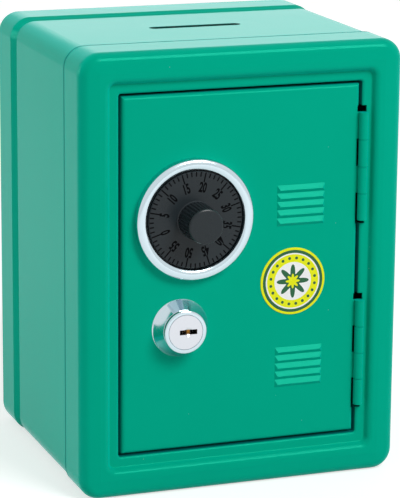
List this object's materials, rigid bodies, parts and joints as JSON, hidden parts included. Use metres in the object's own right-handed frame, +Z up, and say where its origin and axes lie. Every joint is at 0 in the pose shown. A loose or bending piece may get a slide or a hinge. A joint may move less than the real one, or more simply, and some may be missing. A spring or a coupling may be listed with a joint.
{
  "type": "combination lock coin bank",
  "caption": "Toy safe money box of pressed steel with a coin slot in its top, a hinged front door, a turning number dial over combination wheels, and a key lock with a cam.",
  "frame": {"origin": "centre of the bounding box's footprint, knob included, on the surface that the bank stands on", "axes": "+X to the right seen from the front, +Y to the back, +Z up; the door faces -Y"},
  "size_m": [0.13, 0.1254, 0.173],
  "materials": {
    "enamel": "glossy green enamel",
    "chrome": "bright plated",
    "black_plastic": "satin",
    "grey_plastic": "satin",
    "steel": "zinc plated",
    "brass": "plain",
    "label": "printed film"
  },
  "bodies": {
    "case": {"front_frame": "enamel", "case_wrap": "enamel", "back_panel": "enamel", "hinge_pin_upper": "enamel", "hinge_pin_lower": "enamel"},
    "door": {"door_panel": "enamel", "label_disc": "label", "dial_ring": "chrome", "spindle_bush": "brass", "wheel_housing": "grey_plastic", "housing_cover": "grey_plastic", "cover_screws": "steel", "lock_rosette": "chrome", "lock_body": "chrome", "lock_nut": "steel"},
    "dial": {"dial": "black_plastic", "dial_spindle": "steel", "spindle_sleeve": "black_plastic", "drive_wheel": "black_plastic", "spacer_washers": "steel", "retaining_clip": "steel"},
    "middle_wheel": {"middle_wheel": "black_plastic"},
    "rear_wheel": {"rear_wheel": "black_plastic"},
    "key_plug": {"lock_plug": "chrome", "lock_wafers": "brass", "lock_cam": "steel", "cam_washer": "steel", "cam_screw": "steel"}
  },
  "joints": [
    {"name": "door_swing", "type": "hinge", "parent": "case", "child": "door", "pos_m": [0.04945, -0.0488, 0.0865], "axis": [0, 0, 1], "range_deg": [0, 165]},
    {"name": "dial_spin", "type": "hinge", "parent": "door", "child": "dial", "pos_m": [-0.0196, -0.04755, 0.1079], "axis": [0, 1, 0], "continuous": true},
    {"name": "middle_wheel_turn", "type": "hinge", "parent": "dial", "child": "middle_wheel", "pos_m": [-0.0196, -0.0354, 0.1079], "axis": [0, 1, 0], "range_deg": [-162, 162]},
    {"name": "rear_wheel_turn", "type": "hinge", "parent": "middle_wheel", "child": "rear_wheel", "pos_m": [-0.0196, -0.0322, 0.1079], "axis": [0, 1, 0], "range_deg": [-162, 162]},
    {"name": "key_turn", "type": "hinge", "parent": "door", "child": "key_plug", "pos_m": [-0.0247, -0.04755, 0.0654], "axis": [0, -1, 0], "range_deg": [0, 180]}
  ]
}
